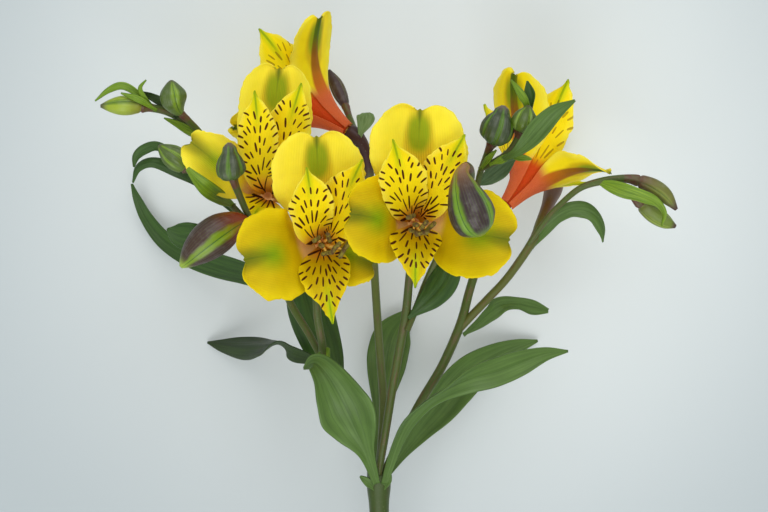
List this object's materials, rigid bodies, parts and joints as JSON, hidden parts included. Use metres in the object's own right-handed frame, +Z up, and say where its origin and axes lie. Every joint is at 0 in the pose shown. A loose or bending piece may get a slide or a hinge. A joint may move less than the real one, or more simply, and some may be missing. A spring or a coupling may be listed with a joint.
{
  "type": "cut alstroemeria stem",
  "caption": "Cut stem of yellow alstroemeria lying flat, a branching head of open spotted flowers, closed buds and twisted narrow leaves.",
  "frame": {"origin": "bottom centre of the bounding box, on the surface the stem lies on", "axes": "+Y along the stem from its cut end to its flowers, +Z up from the surface, +X across the head"},
  "size_m": [0.1956, 0.2967, 0.1241],
  "materials": {
    "stems": "satin green skin, browner near the flowers",
    "leaves": "satin, with fine parallel veins",
    "buds": "satin with a grey bloom",
    "tepals": "soft velvety yellow, dashed with brown",
    "anthers": "matt brown and olive"
  },
  "bodies": {
    "root": {"branch_left": "stems", "branch_right": "stems", "bud_far_left": "buds", "bud_far_right_lower": "buds", "bud_far_right_upper": "buds", "bud_front_left": "buds", "bud_large_left": "buds", "bud_large_right": "buds", "bud_left": "buds", "bud_mid_right": "buds", "bud_top": "buds", "bud_upper_left": "buds", "bud_upper_right": "buds", "flower_back_left_inner_bottom": "tepals", "flower_back_left_inner_left": "tepals", "flower_back_left_inner_right": "tepals", "flower_back_left_outer_left": "tepals", "flower_back_left_outer_right": "tepals", "flower_back_left_outer_top": "tepals", "flower_centre_inner_bottom": "tepals", "flower_centre_inner_left": "tepals", "flower_centre_inner_right": "tepals", "flower_centre_outer_left": "tepals", "flower_centre_outer_right": "tepals", "flower_centre_outer_top": "tepals", "flower_centre_stamens": "anthers", "flower_front_left_inner_bottom": "tepals", "flower_front_left_inner_left": "tepals", "flower_front_left_inner_right": "tepals", "flower_front_left_outer_left": "tepals", "flower_front_left_outer_right": "tepals", "flower_front_left_outer_top": "tepals", "flower_front_left_stamens": "anthers", "flower_right_inner_tepals": "tepals", "flower_right_outer_left": "tepals", "flower_right_outer_right": "tepals", "flower_right_outer_under": "tepals", "flower_top_inner_tepals": "tepals", "flower_top_outer_left": "tepals", "flower_top_outer_right": "tepals", "flower_top_outer_under": "tepals", "leaf_back": "leaves", "leaf_behind_left": "leaves", "leaf_behind_right": "leaves", "leaf_far_right": "leaves", "leaf_front_left": "leaves", "leaf_front_right": "leaves", "leaf_grey_right": "leaves", "leaf_left": "leaves", "leaf_long_left": "leaves", "leaf_low_left": "leaves", "leaf_low_right": "leaves", "leaf_middle": "leaves", "leaf_right": "leaves", "leaf_upper_right": "leaves", "main_stem": "stems", "ray_centre": "stems", "ray_left": "stems", "ray_right": "stems", "ray_top": "stems"}
  },
  "joints": []
}
